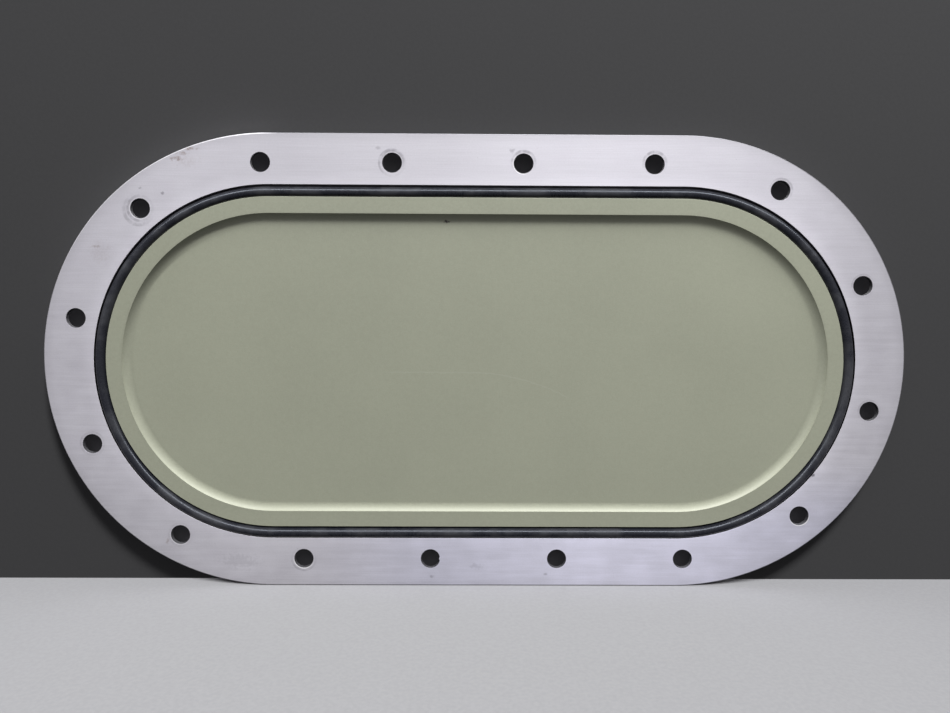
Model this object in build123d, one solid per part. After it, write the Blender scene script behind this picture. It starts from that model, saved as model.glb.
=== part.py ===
from build123d import *

import os
from math import radians, sqrt, tan

# Access panel: a long round-ended cover plate and its seal, standing on the plate's lower edge.
# X runs along the panel, Z is up, and the sealed side faces -Y. The origin is the centre of the
# face that meets the structure, which is also the centre of the screw pattern. All sizes are
# millimetres.

# Plate
length = 304.8
height = 160.5
thickness = 4.06
edge_break = 0.4

# Screw holes, at equal steps along a track inside the plate's edge
screw_count = 16
edge_distance = 10.0
first_screw_past_top = 16.15
screw_hole_diameter = 6.53
hole_mouth_break = 0.3

# Countersinks for flush screw heads, on the outer side
countersink_diameter = 12.9
countersink_angle = 100.0

# Pocket in the middle, with the cove that a round-cornered cutter leaves
pocket_reach = 52.85
pocket_depth = 1.5
cutter_corner_radius = 4.76

# Gland, the groove for the seal, outside a flat land
land_width = 5.65
gland_width = 4.15
gland_depth = 2.65
gland_floor_bevel = 0.4
gland_mouth_break = 0.15

# Seal, a rubber ring of round section that lies loose in the gland
seal_section = 3.53

# A reach is a distance from the line that joins the centres of the two round ends
end_spacing = length - height
plate_reach = height / 2
screw_reach = plate_reach - edge_distance
gland_reach = pocket_reach + land_width + gland_width / 2
cove_width = sqrt(cutter_corner_radius**2 - (cutter_corner_radius - pocket_depth) ** 2)
floor_reach = pocket_reach - cove_width

# The panel is drawn lying face up, and this stands it on its edge with the face towards -Y
standing = Plane.XZ.location


def track(reach):
    """The path round the panel at one reach, clockwise from its top middle."""
    right = end_spacing / 2
    return Wire(
        [
            Line((0, reach), (right, reach)),
            ThreePointArc((right, reach), (right + reach, 0), (right, -reach)),
            Line((right, -reach), (-right, -reach)),
            ThreePointArc((-right, -reach), (-right - reach, 0), (-right, reach)),
            Line((-right, reach), (0, reach)),
        ]
    )


def slab(reach, depth):
    """A round-ended slab of one depth, with its face at height 0."""
    return extrude(Face(track(reach)), amount=depth, dir=(0, 0, -1))


def run_round(section, reach):
    """A section, drawn as reach and height, carried round the panel at one reach."""
    return sweep(Plane.YZ * section, path=track(reach))


def make_blank():
    """The plate before its cuts, with the sharp rims taken off both faces."""
    blank = slab(plate_reach, thickness)
    rims = blank.edges().group_by(Axis.Z)
    return chamfer(rims[0] + rims[-1], edge_break)


def make_pocket():
    """What is milled out of the middle: a flat floor that rises to the land in a cove."""
    rim, corner, toe = (pocket_reach, 0), (floor_reach, 0), (floor_reach, -pocket_depth)
    cove = RadiusArc(rim, toe, cutter_corner_radius)
    section = make_face([Line(corner, rim), cove, Line(toe, corner)])
    return slab(floor_reach, pocket_depth) + run_round(section, floor_reach)


def make_gland():
    """The groove for the seal: upright walls, bevelled floor corners and a broken mouth."""
    wall, lip = gland_width / 2, gland_width / 2 + gland_mouth_break
    half = [(lip, 0), (wall, -gland_mouth_break), (wall, -gland_depth)]
    other_half = [(-x, y) for x, y in reversed(half)]
    section = make_face(Polyline(*half, *other_half, close=True))
    floor_corners = section.vertices().group_by(Axis.Y)[0]
    section = chamfer(floor_corners, gland_floor_bevel)
    return run_round(Pos(gland_reach, 0) * section, gland_reach)


def make_screw_hole():
    """One hole: broken mouth on the sealed side, straight wall, countersink on the outer side."""
    hole, head = screw_hole_diameter / 2, countersink_diameter / 2
    sink_depth = (head - hole) / tan(radians(countersink_angle / 2))
    outline = Polyline(
        (0, 0),
        (hole + hole_mouth_break, 0),
        (hole, -hole_mouth_break),
        (hole, sink_depth - thickness),
        (head, -thickness),
        (0, -thickness),
        close=True,
    )
    return revolve(Plane.XZ * make_face(outline), axis=Axis.Z)


def screw_places():
    """The middle of each screw hole, clockwise from the first one past the top middle."""
    path = track(screw_reach)
    start = first_screw_past_top / path.length
    return [path @ (start + number / screw_count) for number in range(screw_count)]


def make_cover_plate():
    """The machined plate."""
    plate = make_blank() - make_pocket() - make_gland()
    screw_hole = make_screw_hole()
    for place in screw_places():
        plate -= Pos(place) * screw_hole
    return plate


def make_seal():
    """The ring on its gland's floor, hanging by its own weight on the land's upper wall."""
    radius = seal_section / 2
    ring = run_round(Pos(gland_reach, radius - gland_depth) * Circle(radius), gland_reach)
    slack = gland_width / 2 - radius
    return Pos(0, -slack, 0) * ring


parts = {"cover_plate": make_cover_plate(), "seal_ring": make_seal()}

os.makedirs("parts", exist_ok=True)
for name, part in parts.items():
    placed = standing * part
    placed.label = name
    export_step(placed, f"parts/{name}.step")
    print(name, f"{placed.volume:.0f} mm3")
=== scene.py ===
import math

import bmesh
import bpy
from mathutils import Euler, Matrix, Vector, noise


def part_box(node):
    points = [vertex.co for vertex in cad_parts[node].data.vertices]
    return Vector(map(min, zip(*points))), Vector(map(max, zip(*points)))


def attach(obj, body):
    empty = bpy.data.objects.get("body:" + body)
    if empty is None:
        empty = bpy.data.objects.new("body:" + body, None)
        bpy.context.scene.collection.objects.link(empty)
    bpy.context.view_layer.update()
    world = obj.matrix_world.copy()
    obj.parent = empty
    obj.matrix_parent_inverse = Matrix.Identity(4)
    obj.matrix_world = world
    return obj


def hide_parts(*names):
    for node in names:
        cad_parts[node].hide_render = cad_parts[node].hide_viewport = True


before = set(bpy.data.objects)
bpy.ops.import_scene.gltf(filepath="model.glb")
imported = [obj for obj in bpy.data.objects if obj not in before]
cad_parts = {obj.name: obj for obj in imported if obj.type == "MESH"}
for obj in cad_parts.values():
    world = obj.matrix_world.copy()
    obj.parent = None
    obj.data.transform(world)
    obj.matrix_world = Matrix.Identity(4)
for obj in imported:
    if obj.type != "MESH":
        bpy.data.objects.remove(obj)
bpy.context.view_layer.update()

# All sizes are metres, in the frame's own axes: X along the panel, Z up, and the sealed side facing
# -Y. A reach is a distance from the line between the centres of the panel's two round ends, and a
# depth is a distance behind the face that meets the structure. Only the finishes and the marks on
# them are in millimetres.
mm = 0.001
plate_low, plate_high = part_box("cover_plate")
seal_low, seal_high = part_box("seal_ring")

# Plate
plate_reach = plate_high.z
thickness = plate_high.y
end_centre = plate_high.x - plate_reach
edge_round = 0.4 * mm

# Screw holes, at equal steps along a track inside the plate's edge, and their countersinks
screw_count = 16
edge_distance = 10.0 * mm
screw_reach = plate_reach - edge_distance
first_screw_past_top = 16.15 * mm
hole_radius = 6.53 / 2 * mm
hole_break = 0.2 * mm
sink_radius = 12.9 / 2 * mm
sink_angle = math.radians(100)

# One hole has a small burr at its right. Its half angle is in radians.
burred_hole = 8
burr_height = 0.4 * mm
burr_half_angle = 0.2

# Pocket, land and gland
pocket_reach = 52.85 * mm
pocket_depth = 1.5 * mm
cove_radius = 3.75 * mm
land_width = 5.65 * mm
land_reach = pocket_reach + land_width
gland_width = 4.15 * mm
gland_reach = land_reach + gland_width
gland_depth = 2.65 * mm
gland_corner = 0.4 * mm
mouth_round = 0.15 * mm

# Seal, with the wander that a loose ring has
seal_radius = (seal_high.y - seal_low.y) / 2
seal_wander = 0.10 * mm
wander_length = 35 * mm

# Edges that bend more than this are shaded as corners
corner_angle = math.radians(24)


# Points and loops

def track(reach, depth, straight_steps=36, arc_steps=96):
    """The points of one loop round the panel, clockwise from the start of the top's straight."""
    points = []
    for end in (1, -1):
        for step in range(straight_steps):
            x = end_centre * (2 * step / straight_steps - 1)
            points.append(Vector((end * x, depth, end * reach)))
        for step in range(arc_steps):
            turn = math.pi * step / arc_steps
            x, z = end_centre + reach * math.sin(turn), reach * math.cos(turn)
            points.append(Vector((end * x, depth, end * z)))
    return points


def point_on_track(reach, distance):
    """The point of a loop that is this far along it, clockwise from the top's middle."""
    straight, arc = 2 * end_centre, math.pi * reach
    distance = (distance + end_centre) % (2 * (straight + arc))
    end = 1 if distance < straight + arc else -1
    distance %= straight + arc
    if distance < straight:
        return Vector((end * (distance - end_centre), 0, end * reach))
    turn = (distance - straight) / reach
    return Vector((end * (end_centre + reach * math.sin(turn)), 0, end * reach * math.cos(turn)))


def screw_places():
    """The middle of each screw hole, clockwise from the first one past the top's middle."""
    step = (4 * end_centre + 2 * math.pi * screw_reach) / screw_count
    distances = [first_screw_past_top + step * number for number in range(screw_count)]
    return [point_on_track(screw_reach, distance) for distance in distances]


def full_turn(steps):
    """Equally spaced angles once round."""
    return [2 * math.pi * step / steps for step in range(steps)]


def arc_section(centre, radius, start, stop, steps):
    """Points of an arc in a section, as (reach, depth). Angles are in degrees from the reach axis."""
    angles = [math.radians(start + (stop - start) * step / steps) for step in range(steps + 1)]
    reach, depth = centre
    return [(reach + radius * math.cos(angle), depth + radius * math.sin(angle)) for angle in angles]


def add_loop(shape, points):
    """Adds a closed loop of vertices and edges to a mesh."""
    corners = [shape.verts.new(point) for point in points]
    for first, second in zip(corners, corners[1:] + corners[:1]):
        shape.edges.new((first, second))
    return corners


def bridge(shape, first, second):
    """Adds a band of faces between two loops with the same number of vertices."""
    for here in range(len(first)):
        there = (here + 1) % len(first)
        shape.faces.new((first[here], first[there], second[there], second[here]))


def skin(shape, loops):
    """Adds loops of points and the bands between them, and returns the first and last loops."""
    corners = [add_loop(shape, points) for points in loops]
    for first, second in zip(corners, corners[1:]):
        bridge(shape, first, second)
    return corners[0], corners[-1]


def loop_edges(corners):
    """The edges of a closed loop of vertices."""
    pairs = zip(corners, corners[1:] + corners[:1])
    return [next(edge for edge in first.link_edges if second in edge.verts) for first, second in pairs]


def fill_flat(shape, loops):
    """Fills the flat face between an outer loop and the loops inside it."""
    edges = [edge for corners in loops for edge in loop_edges(corners)]
    bmesh.ops.triangle_fill(shape, use_beauty=True, edges=edges)


def finish_piece(name, shape, finish, stands_for):
    """Turns a mesh into a smooth-shaded piece that stands for its CAD node."""
    bmesh.ops.recalc_face_normals(shape, faces=shape.faces)
    for face in shape.faces:
        face.smooth = True
    for edge in shape.edges:
        if len(edge.link_faces) == 2:
            edge.smooth = edge.calc_face_angle() < corner_angle
    mesh = bpy.data.meshes.new(name)
    shape.to_mesh(mesh)
    shape.free()
    mesh.materials.append(finish)
    piece = bpy.data.objects.new(name, mesh)
    bpy.context.scene.collection.objects.link(piece)
    weigh = piece.modifiers.new("weighted_normals", "WEIGHTED_NORMAL")
    weigh.keep_sharp = True
    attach(piece, "root")
    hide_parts(stands_for)
    return piece


# Pieces

def edge_section():
    """The plate's rounded edge, from its outer side to its sealed side."""
    rim = plate_reach - edge_round
    back = arc_section((rim, thickness - edge_round), edge_round, 90, 0, steps=5)
    front = arc_section((rim, edge_round), edge_round, 0, -90, steps=5)
    return back + front


def gland_section():
    """The gland, from its mouth's outer lip down, across its floor and up to the land."""
    corner_depth = gland_depth - gland_corner
    return [
        *arc_section((gland_reach + mouth_round, mouth_round), mouth_round, -90, -180, steps=3),
        *arc_section((gland_reach - gland_corner, corner_depth), gland_corner, 0, 90, steps=3),
        *arc_section((land_reach + gland_corner, corner_depth), gland_corner, 90, 180, steps=3),
        *arc_section((land_reach - mouth_round, mouth_round), mouth_round, 0, -90, steps=3),
    ]


def cove_section():
    """The pocket's wall, from the land down to the pocket's floor."""
    cove_angle = math.degrees(math.acos(1 - pocket_depth / cove_radius))
    floor_reach = pocket_reach - cove_radius * math.sin(math.radians(cove_angle))
    centre = (floor_reach, pocket_depth - cove_radius)
    return arc_section(centre, cove_radius, 90 - cove_angle, 90, steps=18)


def bore_screw_hole(shape, middle, burr):
    """One hole's wall, from its broken mouth to its countersink. The burr narrows it at its right.
    Returns its loops in the sealed side and in the outer side."""
    sink_depth = thickness - (sink_radius - hole_radius) / math.tan(sink_angle / 2)
    section = [
        (hole_radius + hole_break, 0, burr),
        (hole_radius, hole_break, burr),
        (hole_radius, sink_depth, 0),
        (sink_radius, thickness, 0),
    ]
    right = math.pi / 2
    loops = []
    for radius, depth, bulge in section:
        loop = []
        for turn in full_turn(steps=72):
            reach = radius - bulge * max(0, 1 - abs(turn - right) / burr_half_angle)
            loop.append(middle + Vector((reach * math.sin(turn), depth, reach * math.cos(turn))))
        loops.append(loop)
    return skin(shape, loops)


def make_plate():
    """The machined plate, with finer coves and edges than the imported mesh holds."""
    shape = bmesh.new()
    back_rim, front_rim = skin(shape, [track(*point) for point in edge_section()])
    gland_rim, floor_rim = skin(shape, [track(*point) for point in gland_section() + cove_section()])
    shape.faces.new(floor_rim)

    front_holes, back_holes = [], []
    for number, middle in enumerate(screw_places()):
        front, back = bore_screw_hole(shape, middle, burr_height if number == burred_hole else 0)
        front_holes.append(front)
        back_holes.append(back)
    fill_flat(shape, [front_rim, gland_rim, *front_holes])
    fill_flat(shape, [back_rim, *back_holes])
    return finish_piece("machined_plate", shape, plate_finish(), "cover_plate")


def make_seal():
    """The rubber ring, lying in its gland with the small wander that a loose ring has."""
    shape = bmesh.new()
    middle_reach = (land_reach + gland_reach) / 2
    centre_depth = (seal_high.y + seal_low.y) / 2
    drop = Vector((0, 0, (seal_high.z + seal_low.z) / 2))
    turns = full_turn(steps=28)
    rings = []
    for point in track(middle_reach, centre_depth, straight_steps=110, arc_steps=150):
        nearest = max(-end_centre, min(end_centre, point.x))
        outward = Vector((point.x - nearest, 0, point.z)).normalized()
        wander = seal_wander * noise.noise(point / wander_length)
        centre = point + outward * wander + drop
        offsets = [outward * math.cos(turn) - Vector((0, math.sin(turn), 0)) for turn in turns]
        rings.append([shape.verts.new(centre + seal_radius * offset) for offset in offsets])
    for first, second in zip(rings, rings[1:] + rings[:1]):
        bridge(shape, first, second)
    return finish_piece("rubber_ring", shape, rubber_finish(), "seal_ring")


# Material and world nodes

class Nodes:
    """Short calls that add nodes to the node tree of a material or a world."""

    def __init__(self, tree):
        self.tree = tree
        self.tree.nodes.clear()

    def new(self, kind):
        """Adds one node."""
        return self.tree.nodes.new(kind)

    def put(self, socket, value):
        """Links a socket to another node's output, or sets it to a plain value."""
        if isinstance(value, bpy.types.NodeSocket):
            self.tree.links.new(value, socket)
        else:
            socket.default_value = value

    def put_all(self, node, values):
        """Links or sets several of a node's inputs, by name."""
        for name, value in values.items():
            self.put(node.inputs[name], value)

    def math(self, operation, *values):
        """One sum, product or other operation on plain values or outputs."""
        node = self.new("ShaderNodeMath")
        node.operation = operation
        for socket, value in zip(node.inputs, values):
            self.put(socket, value)
        return node.outputs[0]

    def chain(self, operation, values):
        """Two or more values, put together in order by one operation."""
        total = values[0]
        for value in values[1:]:
            total = self.math(operation, total, value)
        return total

    def add(self, *values):
        """The sum of the values."""
        return self.chain("ADD", values)

    def times(self, *values):
        """The product of the values."""
        return self.chain("MULTIPLY", values)

    def most(self, *values):
        """The largest of the values."""
        return self.chain("MAXIMUM", values)

    def vector(self, x, y, z):
        """A vector put together from its three parts."""
        node = self.new("ShaderNodeCombineXYZ")
        for socket, value in zip(node.inputs, (x, y, z)):
            self.put(socket, value)
        return node.outputs[0]

    def split(self, vector):
        """A vector's three parts."""
        node = self.new("ShaderNodeSeparateXYZ")
        self.put(node.inputs[0], vector)
        return tuple(node.outputs)

    def ramp(self, value, low, high, to_low=0.0, to_high=1.0):
        """value from low..high to to_low..to_high, eased at both ends and held outside them."""
        node = self.new("ShaderNodeMapRange")
        node.interpolation_type = "SMOOTHSTEP"
        self.put_all(node, {"Value": value, "From Min": low, "From Max": high,
                            "To Min": to_low, "To Max": to_high})
        return node.outputs["Result"]

    def swing(self, value, low, high, amount):
        """value from low..high to -amount..amount."""
        return self.ramp(value, low, high, -amount, amount)


class Finish(Nodes):
    """A material with one Principled surface. Places and lengths in it are millimetres."""

    def __init__(self, name):
        self.material = bpy.data.materials.new(name)
        self.material.use_nodes = True
        super().__init__(self.material.node_tree)
        self.surface = self.new("ShaderNodeBsdfPrincipled")
        output = self.new("ShaderNodeOutputMaterial")
        self.put(output.inputs["Surface"], self.surface.outputs["BSDF"])
        self.point = self.tone(self.new("ShaderNodeTexCoord").outputs["Object"], 1 / mm)
        self.x, self.y, self.z = self.split(self.point)

    def mix(self, share, first, second):
        """The colour first, going to second as share goes from 0 to 1."""
        node = self.new("ShaderNodeMix")
        node.data_type = "RGBA"
        self.put(node.inputs["Factor"], share)
        colours = [socket for socket in node.inputs if socket.type == "RGBA"]
        self.put(colours[0], first)
        self.put(colours[1], second)
        return next(socket for socket in node.outputs if socket.type == "RGBA")

    def tone(self, colour, value):
        """A colour made lighter or darker by a factor, or a vector made longer or shorter."""
        node = self.new("ShaderNodeVectorMath")
        node.operation = "SCALE"
        self.put(node.inputs[0], colour)
        self.put(node.inputs["Scale"], value)
        return node.outputs[0]

    def moved(self, vector, seed):
        """A vector moved to where each seed finds a pattern of its own."""
        node = self.new("ShaderNodeVectorMath")
        self.put(node.inputs[0], vector)
        node.inputs[1].default_value = (100 * seed, 100 * seed, 100 * seed)
        return node.outputs[0]

    def noise(self, size, seed, detail=2.0, roughness=0.5, at=None):
        """Noise from 0 to 1 with features of one size, at the surface point or at another."""
        node = self.new("ShaderNodeTexNoise")
        self.put_all(node, {"Vector": self.moved(at or self.point, seed), "Scale": 1 / size,
                            "Detail": detail, "Roughness": roughness})
        return node.outputs["Fac"]

    def streaks(self, along, across, seed, detail=2.0, roughness=0.5):
        """Noise drawn out along the panel, with so many features per millimetre along and across."""
        stretched = self.vector(self.times(self.x, along), self.y, self.times(self.z, across))
        return self.noise(1.0, seed, detail, roughness, at=stretched)

    def specks(self, spacing, radius, share, seed):
        """1 on small round specks, which lie in a share of the cells of one spacing."""
        node = self.new("ShaderNodeTexVoronoi")
        self.put_all(node, {"Vector": self.moved(self.point, seed), "Scale": 1 / spacing})
        chosen = self.new("ShaderNodeSeparateColor")
        self.put(chosen.inputs[0], node.outputs["Color"])
        near = self.ramp(node.outputs["Distance"], radius / spacing, 0.4 * radius / spacing)
        return self.times(near, self.math("LESS_THAN", chosen.outputs[0], share))

    def band(self, value, middle, half_width):
        """1 where a value is at the middle, falling to 0 at half_width to each side."""
        off = self.math("ABSOLUTE", self.math("SUBTRACT", value, middle))
        return self.ramp(off, half_width, 0.3 * half_width)

    def finish(self, colour, metallic, roughness, height):
        """Sets the surface. height is a relief in millimetres."""
        bump = self.new("ShaderNodeBump")
        bump.inputs["Distance"].default_value = mm
        self.put(bump.inputs["Height"], height)
        self.put_all(self.surface, {"Base Color": colour, "Metallic": metallic,
                                    "Roughness": roughness, "Normal": bump.outputs["Normal"]})
        return self.material


class PlateFinish(Finish):
    """A finish that knows the surface point's reach and its distance to the nearest screw hole's
    middle. rag is the noise that makes its spots ragged."""

    def __init__(self, name):
        super().__init__(name)
        self.flat = self.vector(self.x, 0.0, self.z)
        past_end = self.math("SUBTRACT", self.math("ABSOLUTE", self.x), end_centre / mm)
        self.reach = self.length(self.math("MAXIMUM", past_end, 0.0), self.z)
        self.holes = [middle / mm for middle in screw_places()]
        self.to_hole = self.distance(self.holes[0].x, self.holes[0].z)
        for hole in self.holes[1:]:
            self.to_hole = self.math("MINIMUM", self.to_hole, self.distance(hole.x, hole.z))
        self.rag = self.swing(self.noise(0.9, seed=5.0, detail=3.0), 0.2, 0.8, 0.55)

    def length(self, across, up):
        """The length of a line from its run across and up."""
        return self.math("SQRT", self.add(self.times(across, across), self.times(up, up)))

    def distance(self, x, z):
        """How far the point is from one place in the panel's plane."""
        node = self.new("ShaderNodeVectorMath")
        node.operation = "DISTANCE"
        self.put(node.inputs[0], self.flat)
        node.inputs[1].default_value = (x, 0, z)
        return node.outputs["Value"]

    def arc(self, number, across, up, radius, half_width, strength, side, opposite):
        """An arc round a screw hole, strongest at one side."""
        x, z = self.holes[number].x + across, self.holes[number].z + up
        ring = self.band(self.distance(x, z), radius, half_width)
        far, angle = 3 * radius, math.radians(side)
        to_side = self.distance(x + far * math.cos(angle), z + far * math.sin(angle))
        return self.times(ring, self.ramp(to_side, far + radius, far - radius, opposite, 1.0), strength)

    def blot(self, middle, size, strength):
        """A soft ragged spot of strength at its middle, from its middle and half sizes."""
        across = self.math("DIVIDE", self.math("SUBTRACT", self.x, middle[0]), size[0])
        up = self.math("DIVIDE", self.math("SUBTRACT", self.z, middle[1]), size[1])
        return self.ramp(self.add(self.length(across, up), self.rag), 1.2, 0.2, 0.0, strength)


# Marks, painted highlights and colours of the finishes

# Marks round screw holes: the hole's number, the arc's offset across and up, radius, half width and
# strength, the angle at which it is strongest, in degrees anticlockwise from the right, and its share
# of that strength at the opposite side, where less than 0 makes the arc shorter
ring_marks = [
    (0, 0.0, 0.2, 4.0, 0.7, 0.40, 95, 0.0),
    (1, 0.0, 0.2, 4.0, 0.7, 0.36, 95, 0.0),
    (2, 0.1, 0.1, 3.9, 0.6, 0.26, 60, 0.0),
    (3, 0.0, 0.0, 3.9, 0.5, 0.16, 135, 0.2),
    (4, 0.0, 0.0, 3.9, 0.5, 0.16, 135, 0.2),
    (9, 0.0, -0.1, 4.3, 0.5, 0.24, 250, 0.0),
    (10, 0.0, 0.0, 4.1, 0.6, 0.12, 180, 0.3),
    (11, 0.0, 0.0, 4.1, 0.6, 0.18, 135, 0.4),
    (13, 0.0, 0.0, 4.3, 0.7, 0.36, 190, 0.2),
    (13, -0.5, -0.5, 5.1, 0.9, 0.24, 225, 0.0),
    (15, 0.0, 0.0, 4.5, 0.55, 0.34, 150, 0.2),
    (15, 0.0, 0.2, 4.0, 0.7, 0.45, 80, 0.0),
]
# Painted highlights: thin light arcs at the lips of some holes, on their lower sides, in the same terms
lip_highlight_arcs = [
    (0, 0.0, 0.0, 3.62, 0.25, 0.6, 215, -0.6),
    (5, 0.0, 0.0, 3.62, 0.25, 0.9, 285, -0.6),
    (9, 0.0, 0.0, 3.62, 0.25, 0.8, 255, -0.6),
    (10, 0.0, 0.0, 3.65, 0.25, 0.35, 240, -0.6),
    (13, 0.0, 0.0, 3.65, 0.30, 0.4, 230, -0.4),
]
# Spots: middle, half sizes, strength
brown_spots = [
    ((-103.9, 71.2), (2.0, 0.9), 0.50),
    ((-101.7, 72.9), (2.2, 0.7), 0.48),
    ((-99.1, 74.6), (2.2, 0.6), 0.55),
    ((-100.0, 70.3), (4.5, 2.2), 0.10),
    ((-132.1, 41.0), (2.0, 0.6), 0.30),
    ((-131.0, 38.5), (4.5, 4.0), 0.08),
    ((-110.6, -64.0), (0.9, 1.5), 0.32),
]
grey_smudges = [
    ((-84.7, -71.5), (7.0, 3.0), 0.10),
    ((0.2, -73.1), (2.5, 1.2), 0.14),
    ((-15.8, -76.8), (0.8, 0.7), 0.30),
    ((25.6, -76.0), (0.8, 0.5), 0.30),
    ((12.2, 74.5), (0.9, 0.9), 0.30),
    ((-109.0, 59.4), (0.8, 0.7), 0.45),
    ((-116.9, 61.0), (0.7, 0.5), 0.35),
    ((-34.4, 75.2), (0.8, 0.6), 0.25),
]
nick_at_gland = ((120.9, -39.2), (0.95, 0.95), 1.0)
chip_in_cove = ((-10.6, 50.3), (1.05, 0.6), 1.0)

# The primer's long scratch runs level from its start, and sags beyond its bend
scratch_start, scratch_bend, scratch_end = -34.8, -2.0, 36.4
scratch_height, scratch_sag, scratch_fade = -2.8, 0.0072, 8.0

# How much the fine sanding lines along the panel spread its reflections up and down
sanding_spread = 0.5

# Colours, as linear red, green, blue and alpha. The primer's goes through a vector node, without alpha.
warm_metal = (0.735, 0.715, 0.770, 1.0)
cool_metal = (0.720, 0.712, 0.748, 1.0)
# Painted reflection: a bluish tint for the lower left of the sealed side
reflected_blue_metal = (0.727, 0.720, 0.810, 1.0)
pitted_metal = (0.25, 0.24, 0.26, 1.0)
# Painted highlight colour for the hole lips
lip_highlight_white = (1.0, 1.0, 1.0, 1.0)
# Painted highlight and painted shade for the plate's rounded edge
rim_highlight_colour = (0.98, 0.97, 1.0, 1.0)
rim_shade_colour = (0.10, 0.10, 0.11, 1.0)
mark_grey = (0.16, 0.15, 0.18, 1.0)
stain_brown = (0.25, 0.15, 0.11, 1.0)
# Painted shade for the screw holes' walls
hole_shade_colour = (0.05, 0.05, 0.055, 1.0)
# Painted shade for the gland's walls
gland_shade_colour = (0.010, 0.010, 0.011, 1.0)
primer_green = (0.335, 0.348, 0.266)
scratched_primer = (0.62, 0.64, 0.56, 1.0)
dusty_primer = (0.62, 0.63, 0.58, 1.0)
chipped_primer = (0.035, 0.028, 0.028, 1.0)
black_rubber = (0.009, 0.009, 0.011, 1.0)
grey_rubber = (0.016, 0.016, 0.019, 1.0)
dusty_rubber = (0.10, 0.095, 0.09, 1.0)
pale_lint = (0.5, 0.5, 0.5, 1.0)
floor_grey = 0.30
wall_grey = 0.035


# Materials

def plate_finish():
    """Bare sanded aluminium, with grey-green primer on the sealed side inside the gland."""
    look = PlateFinish("plate_finish")
    metal, metal_rough, metal_height = bare_metal(look)
    metal = mark_flange(look, metal)
    metal = darken_holes(look, metal)
    metal = darken_gland(look, metal)
    metal = rim_light_and_shade(look, metal)
    metal_height = look.add(metal_height, turned_countersinks(look))
    primer, primer_rough, primer_height = old_primer(look)

    land_edge = land_reach / mm
    on_land = look.ramp(look.reach, land_edge + 0.05, land_edge - 0.05)
    painted = look.times(on_land, look.ramp(look.y, 2.3, 2.2))
    bare = look.math("SUBTRACT", 1.0, painted)
    look.surface.inputs["Anisotropic"].default_value = sanding_spread
    look.put(look.surface.inputs["Tangent"], look.vector(0.0, 0.0, 1.0))
    return look.finish(
        look.mix(painted, metal, primer),
        bare,
        look.add(look.times(painted, primer_rough), look.times(bare, metal_rough)),
        look.add(look.times(painted, primer_height), look.times(bare, metal_height)),
    )


def bare_metal(look):
    """Aluminium sanded along the panel, with painted light and shade and a painted bluish reflection on
    its sealed side: its colour, roughness and relief.
    """
    fine = look.streaks(0.04, 3.2, seed=1.0, roughness=0.6)
    broad = look.streaks(0.06, 0.7, seed=2.0, detail=3.0)
    clouds = look.noise(9.0, seed=3.0, detail=4.0, roughness=0.6)
    grain = look.noise(0.5, seed=4.0)
    sealed_side = look.ramp(look.y, 2.0, 1.0)
    near_ends = look.ramp(look.math("ABSOLUTE", look.x), 85.0, 105.0)
    # Painted light and shade on the sealed side: a lightness trend from left to right, towards the
    # ends, the top right, the gland and the outer edge, standing in for how the lamps fall on the
    # flange
    flange_light_and_shade = look.add(
        look.ramp(look.x, -20.0, 50.0, -0.10, 0.08),
        look.ramp(look.x, -60.0, -110.0, 0.0, 0.12),
        look.ramp(look.x, 110.0, 140.0, 0.0, -0.12),
        look.times(look.ramp(look.x, 0.0, 40.0, -0.03, -0.085), look.ramp(look.z, 40.0, 70.0)),
        look.times(near_ends, look.ramp(look.z, -30.0, -55.0), -0.07),
        look.ramp(look.reach, 68.0, gland_reach / mm, 0.0, 0.06),
        look.ramp(look.reach, 76.0, 80.0, 0.0, -0.06),
    )
    light = look.add(
        1.0,
        look.swing(fine, 0.25, 0.75, 0.025),
        look.swing(broad, 0.3, 0.7, 0.016),
        look.swing(clouds, 0.3, 0.7, 0.02),
        look.swing(grain, 0.3, 0.7, 0.015),
        look.times(flange_light_and_shade, sealed_side),
    )
    # Painted reflection: a bluish tint on the lower left of the sealed side
    reflected_blue_share = look.times(look.ramp(look.z, -30.0, -60.0), look.ramp(look.x, -70.0, -10.0), sealed_side)
    colour = look.mix(reflected_blue_share, look.mix(clouds, warm_metal, cool_metal), reflected_blue_metal)
    pits = look.specks(5.0, 0.16, 0.3, seed=8.0)
    colour = look.mix(look.times(pits, 0.35), look.tone(colour, light), pitted_metal)
    roughness = look.add(0.74, look.swing(broad, 0.3, 0.7, 0.015), look.swing(clouds, 0.3, 0.7, 0.015))
    height = look.add(look.times(fine, 0.003), look.times(grain, 0.0015))
    return colour, roughness, height


def mark_flange(look, metal):
    """Painted highlights at the lower lips of some holes, then ring marks, smudges, the nick and brown
    spots, all on the sealed side.
    """
    in_front = look.ramp(look.y, 1.0, 0.5)
    # Painted highlights at the lower lips of some holes
    lip_highlight = 0.0
    for arc in lip_highlight_arcs:
        lip_highlight = look.most(lip_highlight, look.arc(*arc))
    metal = look.mix(look.times(lip_highlight, in_front), metal, lip_highlight_white)

    broken = look.ramp(look.noise(1.8, seed=20.0), 0.35, 0.6, 0.35, 1.0)
    marks = 0.0
    for arc in ring_marks:
        marks = look.most(marks, look.times(look.arc(*arc), broken))
    for smudge in [*grey_smudges, nick_at_gland]:
        marks = look.most(marks, look.blot(*smudge))
    metal = look.mix(look.times(marks, in_front), metal, mark_grey)

    patchy = look.ramp(look.noise(0.7, seed=6.0), 0.4, 0.6, 0.35, 1.0)
    brown = 0.0
    for spot in brown_spots:
        brown = look.most(brown, look.blot(*spot))
    return look.mix(look.times(brown, patchy, in_front), metal, stain_brown)


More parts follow.
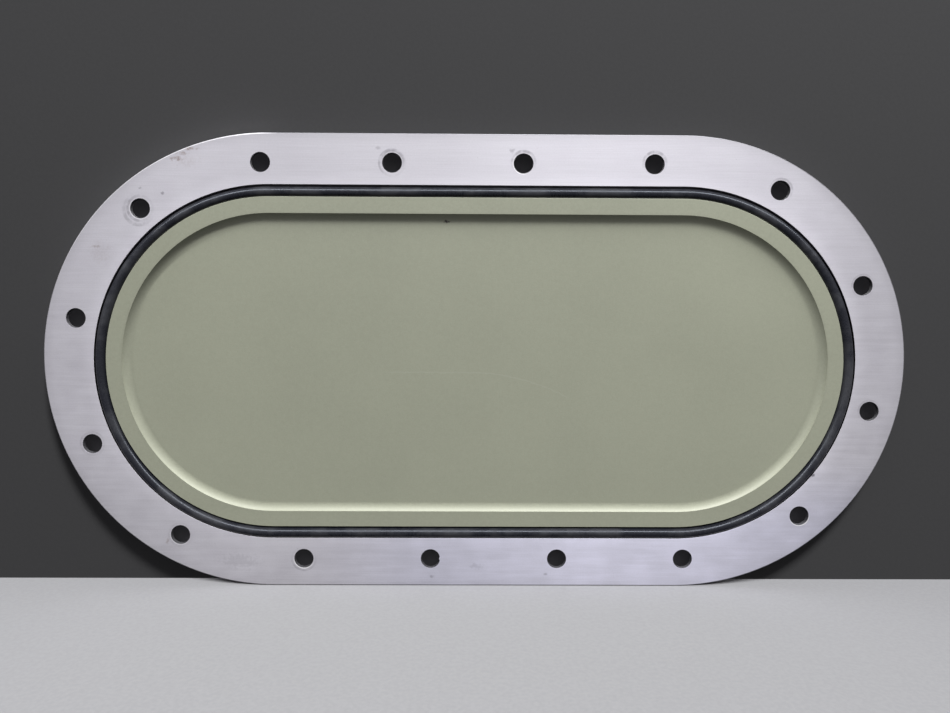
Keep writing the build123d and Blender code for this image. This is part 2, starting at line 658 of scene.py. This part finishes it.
def darken_holes(look, metal):
    """Painted shade on the screw holes' walls, from just behind their mouths."""
    lip = (hole_radius + hole_break) / mm
    inside = look.times(look.ramp(look.to_hole, lip + 0.01, lip - 0.01), look.ramp(look.y, 0.003, 0.02))
    return look.mix(look.times(inside, 0.94), metal, hole_shade_colour)


def darken_gland(look, metal):
    """Painted shade in the gland, where the plate's lights take no shadow from the ring, weaker towards
    the top.
    """
    inner, outer = land_reach / mm, gland_reach / mm
    inside = look.times(
        look.ramp(look.reach, outer + 0.15, outer + 0.05),
        look.ramp(look.reach, inner - 0.1, inner),
        look.ramp(look.y, 0.01, 0.08),
        look.ramp(look.y, 3.3, 3.0),
    )
    amount = look.ramp(look.z, 55.0, 10.0, 0.5, 0.97)
    return look.mix(look.times(inside, amount), metal, gland_shade_colour)


def rim_light_and_shade(look, metal):
    """Painted shade on the plate's rounded edge, and a painted highlight on it at the upper left."""
    rim = (plate_reach - edge_round) / mm
    elsewhere = look.most(look.ramp(look.x, -78.0, -66.0), look.ramp(look.z, 10.0, -10.0))
    dull = look.times(look.ramp(look.reach, rim - 0.05, rim + 0.1), elsewhere)
    metal = look.mix(look.times(dull, 0.45), metal, rim_shade_colour)
    upper_left = look.times(look.ramp(look.x, -68.0, -78.0), look.ramp(look.z, 20.0, 45.0))
    bright = look.times(look.ramp(look.reach, rim - 0.1, rim + 0.05), upper_left)
    return look.mix(look.times(bright, 0.8), metal, rim_highlight_colour)


def turned_countersinks(look):
    """Fine turning rings in the countersinks, as relief."""
    ring_spacing, ring_height = 0.22, 0.002
    rings = look.math("SINE", look.times(look.to_hole, 2 * math.pi / ring_spacing))
    edge = sink_radius / mm
    in_sink = look.times(look.ramp(look.y, 1.6, 2.0), look.ramp(look.to_hole, edge + 0.1, edge - 0.1))
    return look.times(rings, in_sink, ring_height)


def old_primer(look):
    """Sprayed grey-green primer, chipped and faintly scratched, with painted light and shade: its
    colour, roughness and relief.
    """
    grain = look.noise(0.45, seed=7.0, detail=3.0, roughness=0.6)
    peel = look.noise(1.3, seed=9.0, detail=1.0)
    clouds = look.noise(26.0, seed=10.0, detail=3.0)
    land_edge = land_reach / mm
    cove_middle, cove_half_width = 51.4, 2.6
    in_cove = look.band(look.reach, cove_middle, cove_half_width)
    light = look.add(
        1.0,
        look.swing(grain, 0.25, 0.75, 0.045),
        look.swing(peel, 0.2, 0.8, 0.018),
        look.swing(clouds, 0.3, 0.7, 0.015),
        # Painted light and shade: lighter to the upper right, at the left end and at the bottom, darker
        # towards the top and on the cove's sides and top, and a painted highlight along the land's lip
        look.ramp(look.add(look.x, look.z), -140.0, 160.0, 0.0, 0.09),
        look.ramp(look.z, -45.0, 45.0, 0.03, -0.05),
        look.ramp(look.x, -60.0, -90.0, 0.0, 0.03),
        look.ramp(look.z, -50.0, -56.0, 0.0, 0.05),
        look.times(look.ramp(look.x, 40.0, 95.0), look.ramp(look.z, 0.0, 30.0), 0.06),
        look.times(in_cove, look.ramp(look.z, -42.0, -25.0), -0.09),
        look.ramp(look.reach, land_edge - 0.5, land_edge, 0.0, 0.06),
    )
    colour = look.tone(primer_green, light)
    scratches = primer_scratches(look, peel, clouds)
    colour = look.mix(look.times(scratches, 0.09), colour, scratched_primer)
    dust = look.specks(9.0, 0.22, 0.35, seed=14.0)
    colour = look.mix(look.times(dust, 0.35), colour, dusty_primer)
    colour = look.mix(look.blot(*chip_in_cove), colour, chipped_primer)
    roughness = look.add(0.46, look.swing(grain, 0.3, 0.7, 0.04), look.times(scratches, -0.08))
    height = look.add(look.times(peel, 0.012), look.times(grain, 0.006))
    return colour, roughness, height


def primer_scratches(look, peel, clouds):
    """One long faint scratch, and patches of hairlines along the panel, all on the pocket's floor."""
    past_bend = look.math("MAXIMUM", look.math("SUBTRACT", look.x, scratch_bend), 0.0)
    sag = look.times(past_bend, past_bend, scratch_sag)
    line = look.band(look.add(look.z, sag, look.swing(peel, 0.2, 0.8, 0.2)), scratch_height, 0.3)
    fade_in = look.ramp(look.x, scratch_start, scratch_start + scratch_fade)
    fade_out = look.ramp(look.x, scratch_end, scratch_end - scratch_fade)
    hairlines = look.band(look.streaks(0.05, 1.6, seed=12.0, detail=1.0), 0.62, 0.012)
    hairlines = look.times(hairlines, look.ramp(clouds, 0.45, 0.6), 0.35)
    on_floor = look.ramp(look.reach, 49.0, 47.0)
    return look.times(look.most(look.times(line, fade_in, fade_out), hairlines), on_floor)


def rubber_finish():
    """Black rubber with a dull sheen, dusty in places."""
    look = Finish("rubber_finish")
    grain = look.noise(0.35, seed=11.0, detail=3.0)
    patches = look.noise(12.0, seed=13.0, detail=3.0, roughness=0.6)
    dusty = look.times(look.ramp(patches, 0.42, 0.65), look.ramp(grain, 0.2, 0.7, 0.4, 1.0))
    lint = look.specks(14.0, 0.25, 0.3, seed=15.0)
    colour = look.mix(grain, black_rubber, grey_rubber)
    colour = look.mix(look.times(dusty, 0.25), colour, dusty_rubber)
    colour = look.mix(look.times(lint, 0.8), colour, pale_lint)
    roughness = look.add(0.26, look.ramp(grain, 0.3, 0.7, -0.03, 0.04), look.times(dusty, 0.18))
    look.surface.inputs["Specular IOR Level"].default_value = 0.28
    return look.finish(colour, 0.0, roughness, look.times(grain, 0.006))


def ground_finish(name, grey, front_only):
    """A matt, lightly grained grey, which can be left out behind its surface."""
    look = Finish(name)
    grain = look.noise(1.2, seed=17.0)
    colour = look.tone((grey, grey, 1.04 * grey), look.ramp(grain, 0.2, 0.8, 0.96, 1.04))
    if front_only:
        behind = look.new("ShaderNodeNewGeometry").outputs["Backfacing"]
        look.put(look.surface.inputs["Alpha"], look.math("SUBTRACT", 1.0, behind))
    return look.finish(colour, 0.0, 0.9, look.times(grain, 0.02))


# Ground, light and camera

def lay_surface(name, corners, finish):
    """One flat surface of the ground. It casts no shadow and throws no light back at the panel."""
    mesh = bpy.data.meshes.new(name)
    mesh.from_pydata(corners, [], [(0, 1, 2, 3)])
    mesh.materials.append(finish)
    surface = bpy.data.objects.new(name, mesh)
    bpy.context.scene.collection.objects.link(surface)
    surface.visible_diffuse = False
    surface.visible_glossy = False
    surface.visible_shadow = False
    return surface


def lay_ground():
    """A pale floor under the panel and a darker wall close behind it. The wall shows only from the
    front, so that it doesn't hide the panel's other side."""
    far, wall_height, wall_gap = 4.0, 3.0, 2.4 * mm
    low, high, back = plate_low.z, plate_low.z + wall_height, thickness + wall_gap
    floor = [(x, y, low) for x, y in ((-far, -far), (far, -far), (far, far), (-far, far))]
    wall = [(x, back, z) for x, z in ((-far, low), (far, low), (far, high), (-far, high))]
    return [
        lay_surface("floor", floor, ground_finish("floor_finish", floor_grey, front_only=False)),
        lay_surface("wall", wall, ground_finish("wall_finish", wall_grey, front_only=True)),
    ]


def direction(azimuth, elevation):
    """The direction at two angles in degrees, to the right of the panel's front and up from it."""
    turn, rise = math.radians(azimuth), math.radians(elevation)
    return Vector((math.sin(turn) * math.cos(rise), -math.cos(turn) * math.cos(rise), math.sin(rise)))


def group(name, objects):
    """A collection of objects that a light can be limited to."""
    collection = bpy.data.collections.new(name)
    for member in objects:
        collection.objects.link(member)
    return collection


def hang_softbox(name, azimuth, elevation, distance, size, radiance, only_on, shadows_of=None,
                 tint=(1.0, 1.0, 1.0)):
    """A soft light aimed at the panel's middle, from angles in degrees seen from the panel's front.
    radiance is its own brightness, so its power follows from its size. It shines on one group, and
    where shadows_of is given, only that group casts shadows in it."""
    light = bpy.data.lights.new(name, "AREA")
    light.shape = "RECTANGLE"
    light.size, light.size_y = size
    light.energy = radiance * math.pi * size[0] * size[1]
    light.color = tint
    lamp = bpy.data.objects.new(name, light)
    away = direction(azimuth, elevation)
    lamp.location = distance * away
    lamp.rotation_euler = away.to_track_quat("Z", "Y").to_euler()
    bpy.context.scene.collection.objects.link(lamp)
    lamp.light_linking.receiver_collection = only_on
    lamp.light_linking.blocker_collection = shadows_of


def light_studio(pieces, ground):
    """Two long soft lights high in front of the plate, in which the seal casts no shadow, one lower
    and bluer for the seal, one behind, and one each for the floor and the wall."""
    plate, seal = pieces
    floor, wall = ground
    on_plate, on_seal = group("lit_plate", [plate]), group("lit_seal", [seal])
    on_part = group("lit_part", pieces)
    on_floor, on_wall = group("lit_floor", [floor]), group("lit_wall", [wall])
    hang_softbox("main_light", 15, 64, 1.0, (1.07, 0.107), 29.0, on_plate, on_plate)
    hang_softbox("high_light", 18, 74.5, 1.0, (1.07, 0.06), 51.0, on_plate, on_plate)
    hang_softbox("seal_light", 4, 47, 1.0, (2.2, 0.18), 25.0, on_seal, tint=(0.92, 0.99, 1.12))
    hang_softbox("rear_light", 165, 45, 1.5, (1.6, 1.0), 4.0, on_part)
    hang_softbox("floor_light", -10, 42, 2.0, (0.8, 0.8), 40.0, on_floor)
    hang_softbox("wall_light", 20, 55, 1.6, (0.3, 0.3), 120.0, on_wall)


def light_surroundings():
    """Soft light from all round, stronger above than below and weak behind the panel. The camera
    itself sees a plain dark backdrop."""
    room_light = (1.0, 0.99, 1.03, 1.0)
    backdrop_grey = (0.045, 0.045, 0.048, 1.0)
    world = bpy.data.worlds.new("studio")
    world.use_nodes = True
    nodes = Nodes(world.node_tree)
    towards = nodes.new("ShaderNodeTexCoord").outputs["Generated"]
    _, y, z = nodes.split(towards)
    above = nodes.ramp(z, -0.6, 0.6, 0.05, 0.50)
    in_front = nodes.ramp(y, 0.1, -0.6, 0.1, 1.0)

    lighting = nodes.new("ShaderNodeBackground")
    nodes.put_all(lighting, {"Color": room_light, "Strength": nodes.times(above, in_front)})
    backdrop = nodes.new("ShaderNodeBackground")
    nodes.put(backdrop.inputs["Color"], backdrop_grey)
    seen = nodes.new("ShaderNodeLightPath").outputs["Is Camera Ray"]
    either = nodes.new("ShaderNodeMixShader")
    for socket, value in zip(either.inputs, (seen, lighting.outputs[0], backdrop.outputs[0])):
        nodes.put(socket, value)
    output = nodes.new("ShaderNodeOutputWorld")
    nodes.put(output.inputs["Surface"], either.outputs[0])
    bpy.context.scene.world = world


def set_camera():
    """The photograph's camera: just above the panel's middle, close, and looking slightly down.
    The picture's width and the focal length are in pixels, and the angles in degrees."""
    picture_width, focal_length = 950, 691
    place = (-0.00226, -0.24386, 0.02089)
    pitch, yaw, roll = -4.186, -0.439, 0.281
    data = bpy.data.cameras.new("camera")
    data.sensor_width = 36.0
    data.lens = focal_length / picture_width * data.sensor_width
    data.clip_start = 0.01
    camera = bpy.data.objects.new("camera", data)
    camera.location = place
    turn = Euler((0, 0, math.radians(yaw))).to_matrix()
    tilt = Euler((math.radians(90 + pitch), 0, 0)).to_matrix()
    lean = Euler((0, 0, math.radians(roll))).to_matrix()
    camera.rotation_euler = (turn @ tilt @ lean).to_euler()
    bpy.context.scene.collection.objects.link(camera)
    bpy.context.scene.camera = camera


bpy.context.scene.view_settings.view_transform = "Standard"
set_camera()
pieces = [make_plate(), make_seal()]
light_studio(pieces, lay_ground())
light_surroundings()
